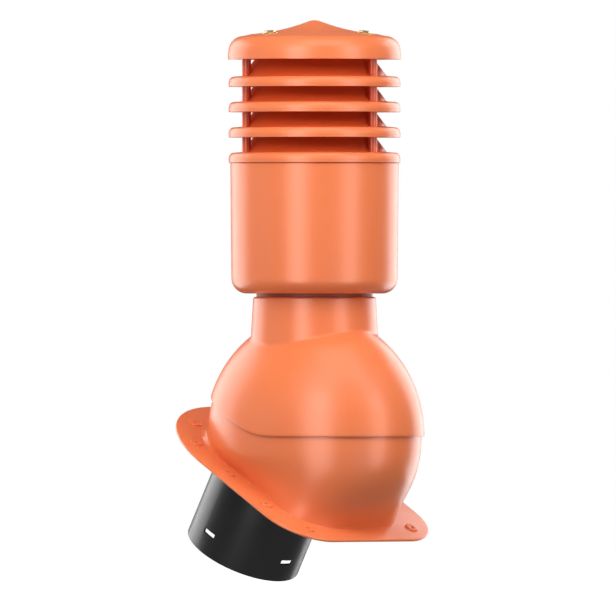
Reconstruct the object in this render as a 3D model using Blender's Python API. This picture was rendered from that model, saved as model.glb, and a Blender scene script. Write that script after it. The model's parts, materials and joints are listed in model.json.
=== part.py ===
"""Roof ventilation chimney with a swivelling head, standing on a sloping roof.

Units are metres and +Z is up. +X points down the roof, +Y runs along it. The origin is on the
underside of the roof flange, on the centre line of its downhill fixing strip. The ball joint turns
about an axis along Y, so that the neck stays upright on roofs of different pitch.
"""
from math import atan2, cos, hypot, pi, radians, sin, sqrt, tan

import bmesh
import bpy
from mathutils import Matrix, Vector

# Fits between pieces
TOUCH_GAP = 0.0003
BALL_GAP = 0.0012
CUT_PAST = 0.010

# Roof flange
ROOF_PITCH = radians(30.0)
FLANGE_LENGTH = 0.336
FLANGE_WIDTH = 0.271
FLANGE_THICKNESS = 0.0035
FLANGE_EDGE_RADIUS = 0.0014
FLANGE_CORNER_RADIUS = 0.066
BOSS_DIAMETER = 0.017
BOSS_HEIGHT = 0.0018
BOSS_EDGE_DISTANCE = 0.0215
UPHILL_BOSS_ANGLES = (0.0, radians(35.0), radians(67.0))
SIDE_BOSS_SHIFTS = (0.0, 0.078)
CORNER_BOSS_ANGLE = radians(58.0)

# Ball joint
DOME_RADIUS = 0.1555
DOME_HALF_WIDTH = 0.1209
DOME_WALL = 0.0025
BASE_WALL = 0.0030
BALL_HEIGHT_OVER_FLANGE = 0.0605
BALL_SHIFT_DOWNHILL = 0.0117
SWIVEL_RANGE = radians(15.0)
SWIVEL_OVERLAP = radians(4.0)

# Foot of the lower ball shell on the flange
FOOT_LENGTH = 0.276
FOOT_WIDTH = 0.195
FOOT_CORNER_RADIUS = 0.057
FOOT_FLARE_REAR = 0.0055
FOOT_FLARE_FRONT = 0.112
FOOT_EASE = 1.7
FOOT_FLARE_POWER = 1.8

# Rim of the dome: level in front, rising behind
RIM_REAR_SLOPE = radians(22.0)
RIM_RISE_START = 0.0145
RIM_SOFTNESS = 0.0055

# Neck
NECK_RADIUS_TOP = 0.0779
NECK_RADIUS_FOOT = 0.0806
NECK_TOP_HEIGHT = 0.1768
NECK_EDGE_RADIUS = 0.0035
NECK_FILLET = 0.0025
NECK_WALL = 0.0030
NECK_COLLAR_HEIGHT = 0.020
INNER_PIPE_RADIUS = 0.0735
INNER_PIPE_WALL = 0.0022
INNER_PIPE_FOOT_HEIGHT = 0.085
INNER_PIPE_INTO_HOUSING = 0.025

# Housing
HOUSING_GAP_OVER_NECK = 0.0041
HOUSING_LENGTH = 0.1654
HOUSING_RADIUS_TOP = 0.1067
HOUSING_RADIUS_FOOT = 0.1052
HOUSING_CORNER_RADIUS = 0.0195
HOUSING_WALL = 0.0030

# Louvre rings and the ring on top of the housing
RING_RADIUS = 0.1090
RING_SKIRT = 0.0124
RING_FLARE = 0.0016
RING_WALL = 0.0028
RING_SHOULDER_RADIUS = 0.0065
RING_CONE_FOOT_RADIUS = 0.0915
RING_CONE_TOP_RADIUS = 0.0755
RING_CONE_RISE = 0.0215
RING_PLATE_RISE = 0.0012
RING_INNER_CHAMFER = 0.0022
RING_GAP = 0.0197
RING_COUNT = 3
POST_RADIUS = 0.0058
POST_CIRCLE_RADIUS = 0.0930
POST_COUNT = 3
POST_AZIMUTH = radians(7.2)

# Rain cap
CAP_GAP = 0.0224
CAP_RADIUS = 0.1100
CAP_WALL = 0.0028
CAP_FLARE = 0.0008
CAP_SHOULDER_RADIUS = 0.0195
CAP_TIP_HEIGHT = 0.0495
CAP_TIP_RADIUS = 0.0040
CAP_TIP_WALL = 0.0045
CAP_CURVE_BREAK_RADIUS = 0.0800
CAP_CURVE_BREAK_HEIGHT = 0.0320
CAP_SHOULDER_HEIGHT = 0.0296
CAP_CURVE_SAG = 0.0031

# Cap screws
SCREW_CIRCLE_RADIUS = 0.0700
SCREW_COUNT = 3
SCREW_AZIMUTH = radians(21.0)
SCREW_HEAD_RADIUS = 0.0092
SCREW_HEAD_HEIGHT = 0.0034
SCREW_CROWN_RADIUS = 0.0066
SCREW_SHOULDER_RADIUS = 0.0084
SCREW_SHOULDER_HEIGHT = 0.0020
SCREW_WASHER_RADIUS = 0.0110
SCREW_WASHER_HEIGHT = 0.0014
SCREW_SHANK_RADIUS = 0.0026
SCREW_LENGTH = 0.018
SCREW_BOSS_LENGTH = 0.0144
SCREW_BOSS_SINK = 0.0006
RECESS_CLEARANCE = 0.0010
RECESS_DEPTH = 0.0020
RECESS_WALL = 0.0015

# Black pipe under the roof
PIPE_RADIUS = 0.0750
PIPE_WALL = 0.0030
PIPE_BELOW_FLANGE = 0.1312
PIPE_ABOVE_FLANGE = 0.022
PIPE_BEAD_WIDTH = 0.0045
PIPE_BEAD_HEIGHT = 0.0030
PIPE_SHIFT_UPHILL = 0.026
SLOT_WIDTH = 0.020
SLOT_HEIGHT = 0.006
SLOT_OVER_RIM = 0.028

# Number of sides and steps of round forms
BALL_SIDES = 40
RING_SIDES = 30
PIPE_SIDES = 32
POST_SIDES = 6
BOSS_SIDES = 8
SCREW_SIDES = 8
BALL_STEPS = 7
FLANGE_CORNER_STEPS = 8
FLANGE_END_STEPS = 24
HOUSING_OUTER_STEPS = 4
HOUSING_INNER_STEPS = 2
RING_SHOULDER_STEPS = 2
CAP_OUTER_STEPS = 3
CAP_INNER_STEPS = 2

# Levels at which the walls are drawn, as shares of their height or slope
SHELL_OUTER_LEVELS = (0.0, 0.04, 0.09, 0.17, 0.28, 0.45, 0.7, 1.0)
SHELL_INNER_LEVELS = (1.0, 0.7, 0.4, 0.15, 0.0)
CAP_OUTER_LEVELS = (0.35, 0.7, 1.0)
CAP_INNER_LEVELS = (0.5, 1.0)

# Accuracy of searches, of joined points and of the shading
SEARCH_STEPS = 40
MERGE_DISTANCE = 0.00001
SMOOTH_ANGLE = radians(35.0)

# Places worked out from the sizes above. The roof frame has u downhill, v along the roof and n
# square to the roof, with n = 0 on the underside of the flange and u = 0 at the origin.
SEAT_FROM_CENTRE = (FLANGE_LENGTH + FOOT_LENGTH) / 4
FLANGE_CENTRE_U = -SEAT_FROM_CENTRE
BALL_U = FLANGE_CENTRE_U + BALL_SHIFT_DOWNHILL
BALL_N = FLANGE_THICKNESS + BALL_HEIGHT_OVER_FLANGE
PIPE_U = FLANGE_CENTRE_U - PIPE_SHIFT_UPHILL
ROOF_FRAME = Matrix.Rotation(ROOF_PITCH, 4, "Y")
BALL_CENTRE = ROOF_FRAME @ Vector((BALL_U, 0.0, BALL_N))
BASE_RADIUS = DOME_RADIUS - DOME_WALL - BALL_GAP
BASE_HALF_WIDTH = DOME_HALF_WIDTH - DOME_WALL - BALL_GAP
NECK_MEETS_BALL = sqrt(DOME_RADIUS ** 2 - NECK_RADIUS_FOOT ** 2)


# Materials

def plastic(name, colour, roughness, metallic=0.0):
    """A plain material with a colour, a roughness and a metallic value."""
    made = bpy.data.materials.new(name)
    made.use_nodes = True
    shader = made.node_tree.nodes["Principled BSDF"]
    shader.inputs["Base Color"].default_value = (*colour, 1.0)
    shader.inputs["Roughness"].default_value = roughness
    shader.inputs["Metallic"].default_value = metallic
    return made


# Mesh helpers

def finish(name, work, material, frame=None):
    """Turn a bmesh into a smooth shaded object, placed by its own matrix."""
    bmesh.ops.recalc_face_normals(work, faces=work.faces)
    mesh = bpy.data.meshes.new(name)
    work.to_mesh(mesh)
    work.free()
    mesh.shade_smooth()
    mesh.set_sharp_from_angle(angle=SMOOTH_ANGLE)
    made = bpy.data.objects.new(name, mesh)
    made.data.materials.append(material)
    bpy.context.scene.collection.objects.link(made)
    if frame is not None:
        made.matrix_world = frame
    return made


def ring_shell(rings):
    """Close a list of equal rings of points into one skin, the last ring joined to the first."""
    work = bmesh.new()
    loops = [[work.verts.new(point) for point in ring] for ring in rings]
    sides = len(loops[0])
    for row, loop in enumerate(loops):
        following = loops[(row + 1) % len(loops)]
        for side in range(sides):
            ahead = (side + 1) % sides
            work.faces.new((loop[side], loop[ahead], following[ahead], following[side]))
    return work


def turned(profile, sides):
    """Spin a closed outline of (radius, height) points about the Z axis.

    A side of the outline that lies on the axis is left out, so that the skin closes there.
    """
    work = bmesh.new()
    points = [work.verts.new((radius, 0.0, height)) for radius, height in profile]
    edges = []
    for index, point in enumerate(points):
        ahead = points[(index + 1) % len(points)]
        if point.co.x > 0.0 or ahead.co.x > 0.0:
            edges.append(work.edges.new((point, ahead)))
    bmesh.ops.spin(work, geom=points + edges, cent=(0, 0, 0), axis=(0, 0, 1), dvec=(0, 0, 0),
                   angle=2 * pi, steps=sides, use_merge=True, use_duplicate=False)
    bmesh.ops.remove_doubles(work, verts=work.verts, dist=MERGE_DISTANCE)
    return work


def arc(centre_radius, centre_height, radius, start, end, steps):
    """Points of an arc in a profile, from one angle to another, both ends included."""
    points = []
    for index in range(steps + 1):
        angle = start + (end - start) * index / steps
        points.append((centre_radius + radius * cos(angle), centre_height + radius * sin(angle)))
    return points


def cylinder(radius, low, high, sides, frame):
    """A closed cylinder along the Z axis of a frame."""
    work = bmesh.new()
    bmesh.ops.create_cone(work, cap_ends=True, segments=sides, radius1=radius, radius2=radius,
                          depth=high - low, matrix=frame @ Matrix.Translation((0.0, 0.0, (low + high) / 2)))
    return work


def cutter(name, work, frame=None):
    """A guide solid for a Boolean, hidden from renders."""
    bmesh.ops.recalc_face_normals(work, faces=work.faces)
    mesh = bpy.data.meshes.new(name)
    work.to_mesh(mesh)
    work.free()
    made = bpy.data.objects.new(name, mesh)
    bpy.context.scene.collection.objects.link(made)
    made.hide_render = True
    made.display_type = "WIRE"
    if frame is not None:
        made.matrix_world = frame
    return made


def boolean(target, other, operation):
    """Add an exact Boolean to a solid."""
    modifier = target.modifiers.new(operation.title() + " " + other.name, "BOOLEAN")
    modifier.operation = operation
    modifier.solver = "EXACT"
    modifier.object = other


def boundary(holds, low, high):
    """The value between low and high up to which a condition holds."""
    for _ in range(SEARCH_STEPS):
        middle = (low + high) / 2
        if holds(middle):
            low = middle
        else:
            high = middle
    return low


def gather(pieces):
    """Put separate closed meshes side by side into one bmesh."""
    whole = bmesh.new()
    for piece in pieces:
        mesh = bpy.data.meshes.new("piece")
        piece.to_mesh(mesh)
        piece.free()
        whole.from_mesh(mesh)
        bpy.data.meshes.remove(mesh)
    return whole


# Outlines in the plane of the roof

def rounded_outline(centre_u, length, width, corner, corner_steps, end_steps):
    """Outline with a round uphill end and two rounded downhill corners, as (u, v) points."""
    end_radius = width / 2
    rear_centre = centre_u - length / 2 + end_radius
    front = centre_u + length / 2
    points = []
    for index in range(end_steps + 1):
        angle = pi / 2 + pi * index / end_steps
        points.append((rear_centre + end_radius * cos(angle), end_radius * sin(angle)))
    for index in range(corner_steps + 1):
        angle = -pi / 2 + pi / 2 * index / corner_steps
        points.append((front - corner + corner * cos(angle), corner - width / 2 + corner * sin(angle)))
    for index in range(corner_steps + 1):
        angle = pi / 2 * index / corner_steps
        points.append((front - corner + corner * cos(angle), width / 2 - corner + corner * sin(angle)))
    return points


def outline_distance(u, v, centre_u, length, width, corner):
    """Signed distance of a point from the outline above, negative inside."""
    radius = width / 2 if u < centre_u else corner
    if u < centre_u:
        reach = max(0.0, (centre_u - u) - (length / 2 - width / 2))
        return hypot(reach, v) - radius
    across = abs(v) - (width / 2 - corner)
    along = (u - centre_u) - (length / 2 - corner)
    outside = hypot(max(along, 0.0), max(across, 0.0))
    return outside + min(max(along, across), 0.0) - corner


def foot_reach(angle, inset):
    """Distance from the ball's foot point to the foot outline, in a direction on the roof."""
    def inside(reach):
        distance = outline_distance(BALL_U + reach * cos(angle), reach * sin(angle), FLANGE_CENTRE_U,
                                    FOOT_LENGTH, FOOT_WIDTH, FOOT_CORNER_RADIUS)
        return distance < -inset
    return boundary(inside, 0.0, FLANGE_LENGTH)


# Lower ball shell

def base_rim_plane():
    """Height and slope of the shell's upper rim in the roof frame, about the ball centre."""
    front_angle = ROOF_PITCH + SWIVEL_RANGE + SWIVEL_OVERLAP
    rear_angle = dome_rear_angle() + SWIVEL_RANGE + SWIVEL_OVERLAP - ROOF_PITCH
    front = Vector((cos(front_angle), sin(front_angle))) * BASE_RADIUS
    rear = Vector((-cos(rear_angle), sin(rear_angle))) * BASE_RADIUS
    slope = (front.y - rear.y) / (front.x - rear.x)
    return front.y - slope * front.x, slope


def dome_rear_angle():
    """Angle above level, seen from the ball centre, at which the dome's rim ends behind."""
    def below_rim(angle):
        return sin(angle) * DOME_RADIUS < rim_height(-cos(angle) * DOME_RADIUS)
    return boundary(below_rim, 0.0, pi / 2)


def rim_height(x):
    """Height of the dome's rim over the ball centre, at a distance x downhill of it."""
    rise = tan(RIM_REAR_SLOPE) * (RIM_RISE_START - x)
    return (rise + sqrt(rise * rise + RIM_SOFTNESS * RIM_SOFTNESS)) / 2


def base_reach(angle, height, inset):
    """Distance of the shell from the ball's roof normal, at a height over the ball centre."""
    radius = BASE_RADIUS - inset
    half_width = BASE_HALF_WIDTH - inset
    spread = cos(angle) ** 2 / radius ** 2 + sin(angle) ** 2 / half_width ** 2
    ball = sqrt((1 - height * height / (radius * radius)) / spread)
    turn = ((1 + cos(angle)) / 2) ** FOOT_FLARE_POWER
    flare = FOOT_FLARE_REAR + (FOOT_FLARE_FRONT - FOOT_FLARE_REAR) * turn
    climb = min(1.0, max(0.0, (height + BALL_HEIGHT_OVER_FLANGE + inset) / flare))
    share = (1 - climb) ** FOOT_EASE
    return ball + (foot_reach(angle, inset) - ball) * share


def base_top(angle):
    """Height over the ball centre where the shell meets its rim plane."""
    level, slope = base_rim_plane()
    height = level
    for _ in range(SEARCH_STEPS):
        reach = base_reach(angle, max(-BALL_HEIGHT_OVER_FLANGE, height), 0.0)
        height = level + slope * reach * cos(angle)
    return height


def base_shell(sink):
    """The wall of the lower ball shell, from inside the flange plate up to its rim."""
    rings = []
    for inset, levels in ((0.0, SHELL_OUTER_LEVELS), (BASE_WALL, SHELL_INNER_LEVELS)):
        for level in levels:
            ring = []
            for side in range(BALL_SIDES):
                angle = 2 * pi * side / BALL_SIDES
                bottom = -BALL_HEIGHT_OVER_FLANGE
                height = bottom + (base_top(angle) - bottom) * level
                reach = base_reach(angle, height, inset)
                drop = sink if level == 0.0 else 0.0
                ring.append(Vector((BALL_U + reach * cos(angle), reach * sin(angle), BALL_N + height - drop)))
            rings.append(ring)
    return ring_shell(rings)


def flange_plate():
    """The flange plate with its rounded edge."""
    work = bmesh.new()
    outline = rounded_outline(FLANGE_CENTRE_U, FLANGE_LENGTH, FLANGE_WIDTH, FLANGE_CORNER_RADIUS,
                              FLANGE_CORNER_STEPS, FLANGE_END_STEPS)
    points = [work.verts.new((u, v, 0.0)) for u, v in outline]
    bottom = work.faces.new(points)
    raised = bmesh.ops.extrude_face_region(work, geom=[bottom], use_keep_orig=True)
    top = [item for item in raised["geom"] if isinstance(item, bmesh.types.BMVert)]
    bmesh.ops.translate(work, verts=top, vec=(0, 0, FLANGE_THICKNESS))
    bmesh.ops.recalc_face_normals(work, faces=work.faces)
    rims = [edge for edge in work.edges if edge.verts[0].co.z == edge.verts[1].co.z]
    bmesh.ops.bevel(work, geom=rims, offset=FLANGE_EDGE_RADIUS, offset_type="OFFSET", affect="EDGES",
                    segments=1, profile=0.5, material=-1)
    return work


def boss_places():
    """Centres of the fixing bosses, as (u, v) points on a line inside the flange edge."""
    line_width = FLANGE_WIDTH / 2 - BOSS_EDGE_DISTANCE
    rear_centre = FLANGE_CENTRE_U - FLANGE_LENGTH / 2 + FLANGE_WIDTH / 2
    places = []
    for angle in UPHILL_BOSS_ANGLES:
        sides = (1,) if angle == 0.0 else (-1, 1)
        for side in sides:
            places.append((rear_centre - line_width * cos(angle), side * line_width * sin(angle)))
    for shift in SIDE_BOSS_SHIFTS:
        for side in (-1, 1):
            places.append((FLANGE_CENTRE_U + shift, side * line_width))
    corner_u = FLANGE_CENTRE_U + FLANGE_LENGTH / 2 - FLANGE_CORNER_RADIUS
    corner_v = FLANGE_WIDTH / 2 - FLANGE_CORNER_RADIUS
    corner_line = FLANGE_CORNER_RADIUS - BOSS_EDGE_DISTANCE
    for side in (-1, 1):
        places.append((corner_u + corner_line * sin(CORNER_BOSS_ANGLE),
                       side * (corner_v + corner_line * cos(CORNER_BOSS_ANGLE))))
    return places


def boss(u, v):
    """A low round boss for a roofing screw, sunk into the plate."""
    radius = BOSS_DIAMETER / 2
    top = FLANGE_THICKNESS + BOSS_HEIGHT
    profile = [(0.0, FLANGE_THICKNESS / 2), (radius, FLANGE_THICKNESS / 2), (radius, top), (0.0, top)]
    work = turned(profile, BOSS_SIDES)
    bmesh.ops.translate(work, verts=work.verts, vec=(u, v, 0.0))
    return work


def make_roof_base(material):
    """Flange, lower ball shell and bosses, moulded as one."""
    base = finish("roof_base", flange_plate(), material, ROOF_FRAME)
    shell = cutter("guide_base_shell", base_shell(FLANGE_THICKNESS / 2), ROOF_FRAME)
    bosses = cutter("guide_bosses", gather([boss(u, v) for u, v in boss_places()]), ROOF_FRAME)
    hole = cylinder(PIPE_RADIUS + TOUCH_GAP, -CUT_PAST, FLANGE_THICKNESS + CUT_PAST, PIPE_SIDES,
                    Matrix.Translation((PIPE_U, 0.0, 0.0)))
    boolean(base, shell, "UNION")
    boolean(base, bosses, "UNION")
    boolean(base, cutter("guide_pipe_hole", hole, ROOF_FRAME), "DIFFERENCE")
    return base


# Black pipe

def make_connection_pipe(material):
    """The pipe through the roof, with a bead that rests on the base and four latch slots."""
    foot = FLANGE_THICKNESS - PIPE_BELOW_FLANGE
    head = FLANGE_THICKNESS + PIPE_ABOVE_FLANGE
    bead = FLANGE_THICKNESS + TOUCH_GAP
    bore = PIPE_RADIUS - PIPE_WALL
    bead_radius = PIPE_RADIUS + PIPE_BEAD_WIDTH
    bead_top = bead + PIPE_BEAD_HEIGHT
    profile = [(PIPE_RADIUS, foot), (PIPE_RADIUS, bead), (bead_radius, bead), (bead_radius, bead_top),
               (PIPE_RADIUS, bead_top), (PIPE_RADIUS, head), (bore, head), (bore, foot)]
    frame = ROOF_FRAME @ Matrix.Translation((PIPE_U, 0.0, 0.0))
    pipe = finish("connection_pipe", turned(profile, PIPE_SIDES), material, frame)
    through = 2 * (PIPE_RADIUS + CUT_PAST)
    for name, size in (("along", (through, SLOT_WIDTH, SLOT_HEIGHT)),
                       ("across", (SLOT_WIDTH, through, SLOT_HEIGHT))):
        bar = bmesh.new()
        bmesh.ops.create_cube(bar, size=1.0)
        bmesh.ops.scale(bar, vec=size, verts=bar.verts)
        bmesh.ops.translate(bar, verts=bar.verts, vec=(0.0, 0.0, foot + SLOT_OVER_RIM))
        boolean(pipe, cutter("guide_slots_" + name, bar, frame), "DIFFERENCE")
    return pipe


# Dome and neck

def dome_point(azimuth, polar, inset):
    """Point of the dome about the ball centre, polar angle counted from straight up."""
    radius = DOME_RADIUS - inset
    half_width = DOME_HALF_WIDTH - inset
    ray = Vector((sin(polar) * cos(azimuth), sin(polar) * sin(azimuth), cos(polar)))
    spread = (ray.x * ray.x + ray.z * ray.z) / radius ** 2 + ray.y * ray.y / half_width ** 2
    return ray / sqrt(spread)


def polar_at_radius(azimuth, reach, inset):
    """Polar angle at which the dome is a given distance from the neck's axis."""
    def nearer(polar):
        point = dome_point(azimuth, polar, inset)
        return hypot(point.x, point.y) < reach
    return boundary(nearer, 0.0, pi / 2)


def polar_at_rim(azimuth, inset):
    """Polar angle at which the dome meets its rim."""
    def above_rim(polar):
        point = dome_point(azimuth, polar, inset)
        return point.z > rim_height(point.x)
    return boundary(above_rim, pi / 6, pi)


def neck_radius(height):
    """Outer radius of the neck, which widens a little downwards."""
    share = (NECK_TOP_HEIGHT - height) / (NECK_TOP_HEIGHT - NECK_MEETS_BALL)
    return NECK_RADIUS_TOP + (NECK_RADIUS_FOOT - NECK_RADIUS_TOP) * share


def circle(radius, height):
    """A ring of points about the neck's axis."""
    turns = [2 * pi * side / BALL_SIDES for side in range(BALL_SIDES)]
    return [Vector((radius * cos(turn), radius * sin(turn), height)) for turn in turns]


def dome_rings(reach, inset, fillet):
    """Rings of the dome from the foot of the neck, or its fillet, down to the rim."""
    rings = []
    for step in range(BALL_STEPS + 1):
        ring = []
        for side in range(BALL_SIDES):
            azimuth = 2 * pi * side / BALL_SIDES
            start = polar_at_radius(azimuth, reach + fillet, inset)
            end = polar_at_rim(azimuth, inset)
            ring.append(dome_point(azimuth, start + (end - start) * step / BALL_STEPS, inset))
        rings.append(ring)
    return rings


def neck_foot_ring(reach, inset, rise):
    """The line where a neck of this radius meets the dome, raised along the neck."""
    ring = []
    for side in range(BALL_SIDES):
        azimuth = 2 * pi * side / BALL_SIDES
        point = dome_point(azimuth, polar_at_radius(azimuth, reach, inset), inset)
        ring.append(point + Vector((0.0, 0.0, rise)))
    return ring


def make_ball_dome_neck(material, parent):
    """Upper ball shell with its lifted rim, and the neck that grows out of it."""
    collar_bore = INNER_PIPE_RADIUS + TOUCH_GAP
    foot_bore = NECK_RADIUS_FOOT - NECK_WALL
    edge = NECK_EDGE_RADIUS
    collar_foot = NECK_TOP_HEIGHT - NECK_COLLAR_HEIGHT
    rings = [circle(collar_bore, collar_foot), circle(collar_bore, NECK_TOP_HEIGHT)]
    for radius, height in arc(NECK_RADIUS_TOP - edge, NECK_TOP_HEIGHT - edge, edge, pi / 2, 0.0, 1):
        rings.append(circle(radius, height))
    rings.append(neck_foot_ring(NECK_RADIUS_FOOT, 0.0, NECK_FILLET))
    rings.extend(dome_rings(NECK_RADIUS_FOOT, 0.0, NECK_FILLET))
    rings.extend(dome_rings(foot_bore, DOME_WALL, 0.0)[::-1])
    bore = neck_radius(collar_foot) - NECK_WALL
    rings.append(circle(bore, collar_foot - (bore - collar_bore)))
    made = finish("ball_dome_neck", ring_shell(rings), material)
    made.parent = parent
    return made


def make_inner_pipe(material, parent):
    """The pipe between the neck and the housing."""
    foot = INNER_PIPE_FOOT_HEIGHT
    head = NECK_TOP_HEIGHT + HOUSING_GAP_OVER_NECK + HOUSING_WALL + INNER_PIPE_INTO_HOUSING
    bore = INNER_PIPE_RADIUS - INNER_PIPE_WALL
    profile = [(INNER_PIPE_RADIUS, foot), (INNER_PIPE_RADIUS, head), (bore, head), (bore, foot)]
    made = finish("inner_pipe", turned(profile, RING_SIDES), material)
    made.parent = parent
    return made


# Housing

HOUSING_FOOT_HEIGHT = NECK_TOP_HEIGHT + HOUSING_GAP_OVER_NECK
HOUSING_TOP_HEIGHT = HOUSING_FOOT_HEIGHT + HOUSING_LENGTH


def make_housing(material, parent):
    """The tall casing, closed below around the inner pipe and open above."""
    corner = HOUSING_CORNER_RADIUS
    wall = HOUSING_WALL
    hole = INNER_PIPE_RADIUS + TOUCH_GAP
    foot = HOUSING_FOOT_HEIGHT
    profile = [(hole, foot)]
    profile += arc(HOUSING_RADIUS_FOOT - corner, foot + corner, corner, -pi / 2, 0.0, HOUSING_OUTER_STEPS)
    profile += [(HOUSING_RADIUS_TOP, HOUSING_TOP_HEIGHT), (HOUSING_RADIUS_TOP - wall, HOUSING_TOP_HEIGHT)]
    profile += arc(HOUSING_RADIUS_FOOT - corner, foot + corner, corner - wall, 0.0, -pi / 2,
                   HOUSING_INNER_STEPS)
    profile += [(hole, foot + wall)]
    made = finish("housing", turned(profile, RING_SIDES), material)
    made.parent = parent
    return made


# Rings and cap

def ring_foot_height(index):
    """Height of a ring's lower edge; 0 is the ring on the housing, then upwards."""
    return HOUSING_TOP_HEIGHT + TOUCH_GAP + index * (RING_SKIRT + RING_GAP)


def ring_profile(foot):
    """Outline of one ring: skirt, shoulder, plate and rain cone, with an even wall."""
    top = foot + RING_SKIRT
    wall = RING_WALL
    shoulder = RING_SHOULDER_RADIUS
    plate = top + RING_PLATE_RISE
    crest = plate + RING_CONE_RISE
    cone_run = RING_CONE_FOOT_RADIUS - RING_CONE_TOP_RADIUS
    cone_slant = hypot(cone_run, RING_CONE_RISE)
    across = wall * RING_CONE_RISE / cone_slant
    down = wall * cone_run / cone_slant
    profile = [(RING_RADIUS, foot)]
    profile += arc(RING_RADIUS - RING_FLARE - shoulder, top - shoulder, shoulder, 0.0, pi / 2,
                   RING_SHOULDER_STEPS)
    profile += [(RING_CONE_FOOT_RADIUS, plate), (RING_CONE_TOP_RADIUS, crest),
                (RING_CONE_TOP_RADIUS - across, crest - down), (RING_CONE_FOOT_RADIUS - across, plate - wall),
                (RING_RADIUS - wall - RING_INNER_CHAMFER, top - wall), (RING_RADIUS - wall, foot)]
    return profile


def post(foot, head, azimuth):
    """A spacer post on a ring, sunk a little into the plate that carries it."""
    work = bmesh.new()
    bmesh.ops.create_cone(work, cap_ends=True, segments=POST_SIDES, radius1=POST_RADIUS,
                          radius2=POST_RADIUS, depth=head - foot)
    bmesh.ops.translate(work, verts=work.verts, vec=(POST_CIRCLE_RADIUS, 0.0, (foot + head) / 2))
    bmesh.ops.rotate(work, cent=(0, 0, 0), matrix=Matrix.Rotation(azimuth, 3, "Z"), verts=work.verts)
    return work


def make_ring(name, index, head_height, material, parent):
    """One ring with the posts that carry whatever is above it."""
    foot = ring_foot_height(index)
    ring = finish(name, turned(ring_profile(foot), RING_SIDES), material)
    ring.parent = parent
    root = foot + RING_SKIRT - RING_WALL / 2
    posts = [post(root, head_height - TOUCH_GAP, POST_AZIMUTH + 2 * pi * number / POST_COUNT)
             for number in range(POST_COUNT)]
    guide = cutter("guide_posts_" + name, gather(posts))
    guide.parent = parent
    boolean(ring, guide, "UNION")
    return ring


CAP_FOOT_HEIGHT = ring_foot_height(RING_COUNT) + RING_SKIRT + CAP_GAP


def cone_height(radius):
    """Height of the cap's cone over its lower edge; it sags a little between break and tip."""
    share = (CAP_CURVE_BREAK_RADIUS - radius) / (CAP_CURVE_BREAK_RADIUS - CAP_TIP_RADIUS)
    straight = CAP_CURVE_BREAK_HEIGHT + (CAP_TIP_HEIGHT - CAP_CURVE_BREAK_HEIGHT) * share
    return straight - CAP_CURVE_SAG * share * (1 - share) * 4


def cap_profile(inset, arc_steps, cone_levels):
    """Upper outline of the cap over its lower edge, from the rim to the tip."""
    centre = CAP_RADIUS - CAP_FLARE - CAP_SHOULDER_RADIUS
    points = arc(centre, CAP_SHOULDER_HEIGHT - CAP_SHOULDER_RADIUS, CAP_SHOULDER_RADIUS - inset,
                 0.0, pi / 2, arc_steps)
    points += [(CAP_CURVE_BREAK_RADIUS, CAP_CURVE_BREAK_HEIGHT - inset)]
    for level in cone_levels:
        radius = CAP_CURVE_BREAK_RADIUS + (CAP_TIP_RADIUS - CAP_CURVE_BREAK_RADIUS) * level
        points.append((radius, cone_height(radius) - inset))
    return points


CAP_OUTER = cap_profile(0.0, CAP_OUTER_STEPS, CAP_OUTER_LEVELS)
CAP_INNER = cap_profile(CAP_WALL, CAP_INNER_STEPS, CAP_INNER_LEVELS)


def height_on(outline, radius):
    """Height of an outline that runs inwards, at a distance from the axis."""
    for (outer, low), (inner, high) in zip(outline, outline[1:]):
        if inner <= radius <= outer:
            return low + (high - low) * (outer - radius) / (outer - inner)
    return outline[-1][1]


def screw_frames():
    """Frames of the cap screws, with the origin on the seat and Z square to the cone."""
    reach = SCREW_WASHER_RADIUS
    fall = cone_height(SCREW_CIRCLE_RADIUS - reach) - cone_height(SCREW_CIRCLE_RADIUS + reach)
    on_cone = (SCREW_CIRCLE_RADIUS, 0.0, CAP_FOOT_HEIGHT + cone_height(SCREW_CIRCLE_RADIUS))
    lean = Matrix.Rotation(atan2(fall, 2 * reach), 4, "Y")
    seat = Matrix.Translation(on_cone) @ lean @ Matrix.Translation((0.0, 0.0, -RECESS_DEPTH))
    turns = [SCREW_AZIMUTH + 2 * pi * number / SCREW_COUNT for number in range(SCREW_COUNT)]
    return [Matrix.Rotation(turn, 4, "Z") @ seat for turn in turns]


def screw_cylinders(radius, low, high):
    """One cylinder at each screw, with its ends measured from the seat, as a single bmesh."""
    return gather([cylinder(radius, low, high, SCREW_SIDES, frame) for frame in screw_frames()])


def make_rain_cap(material, parent):
    """The cap: short skirt, round shoulder and hollow cone, with recesses for its screws."""
    tip = [(0.0, CAP_TIP_HEIGHT), (0.0, CAP_TIP_HEIGHT - CAP_TIP_WALL)]
    outline = [(CAP_RADIUS, 0.0)] + CAP_OUTER + tip + CAP_INNER[::-1] + [(CAP_RADIUS - CAP_WALL, 0.0)]
    raised = [(radius, CAP_FOOT_HEIGHT + height) for radius, height in outline]
    cap = finish("rain_cap", turned(raised, RING_SIDES), material)
    cap.parent = parent
    recess_radius = SCREW_WASHER_RADIUS + RECESS_CLEARANCE
    bosses = screw_cylinders(recess_radius + RECESS_WALL, -SCREW_BOSS_LENGTH, -SCREW_BOSS_SINK)
    recesses = screw_cylinders(recess_radius, 0.0, RECESS_DEPTH + CUT_PAST)
    holes = screw_cylinders(SCREW_SHANK_RADIUS + TOUCH_GAP, -SCREW_BOSS_LENGTH - CUT_PAST, CUT_PAST)
    for name, shape, operation in (("bosses", bosses, "UNION"), ("recesses", recesses, "DIFFERENCE"),
                                   ("holes", holes, "DIFFERENCE")):
        guide = cutter("guide_cap_" + name, shape)
        guide.parent = parent
        boolean(cap, guide, operation)
    return cap


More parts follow.
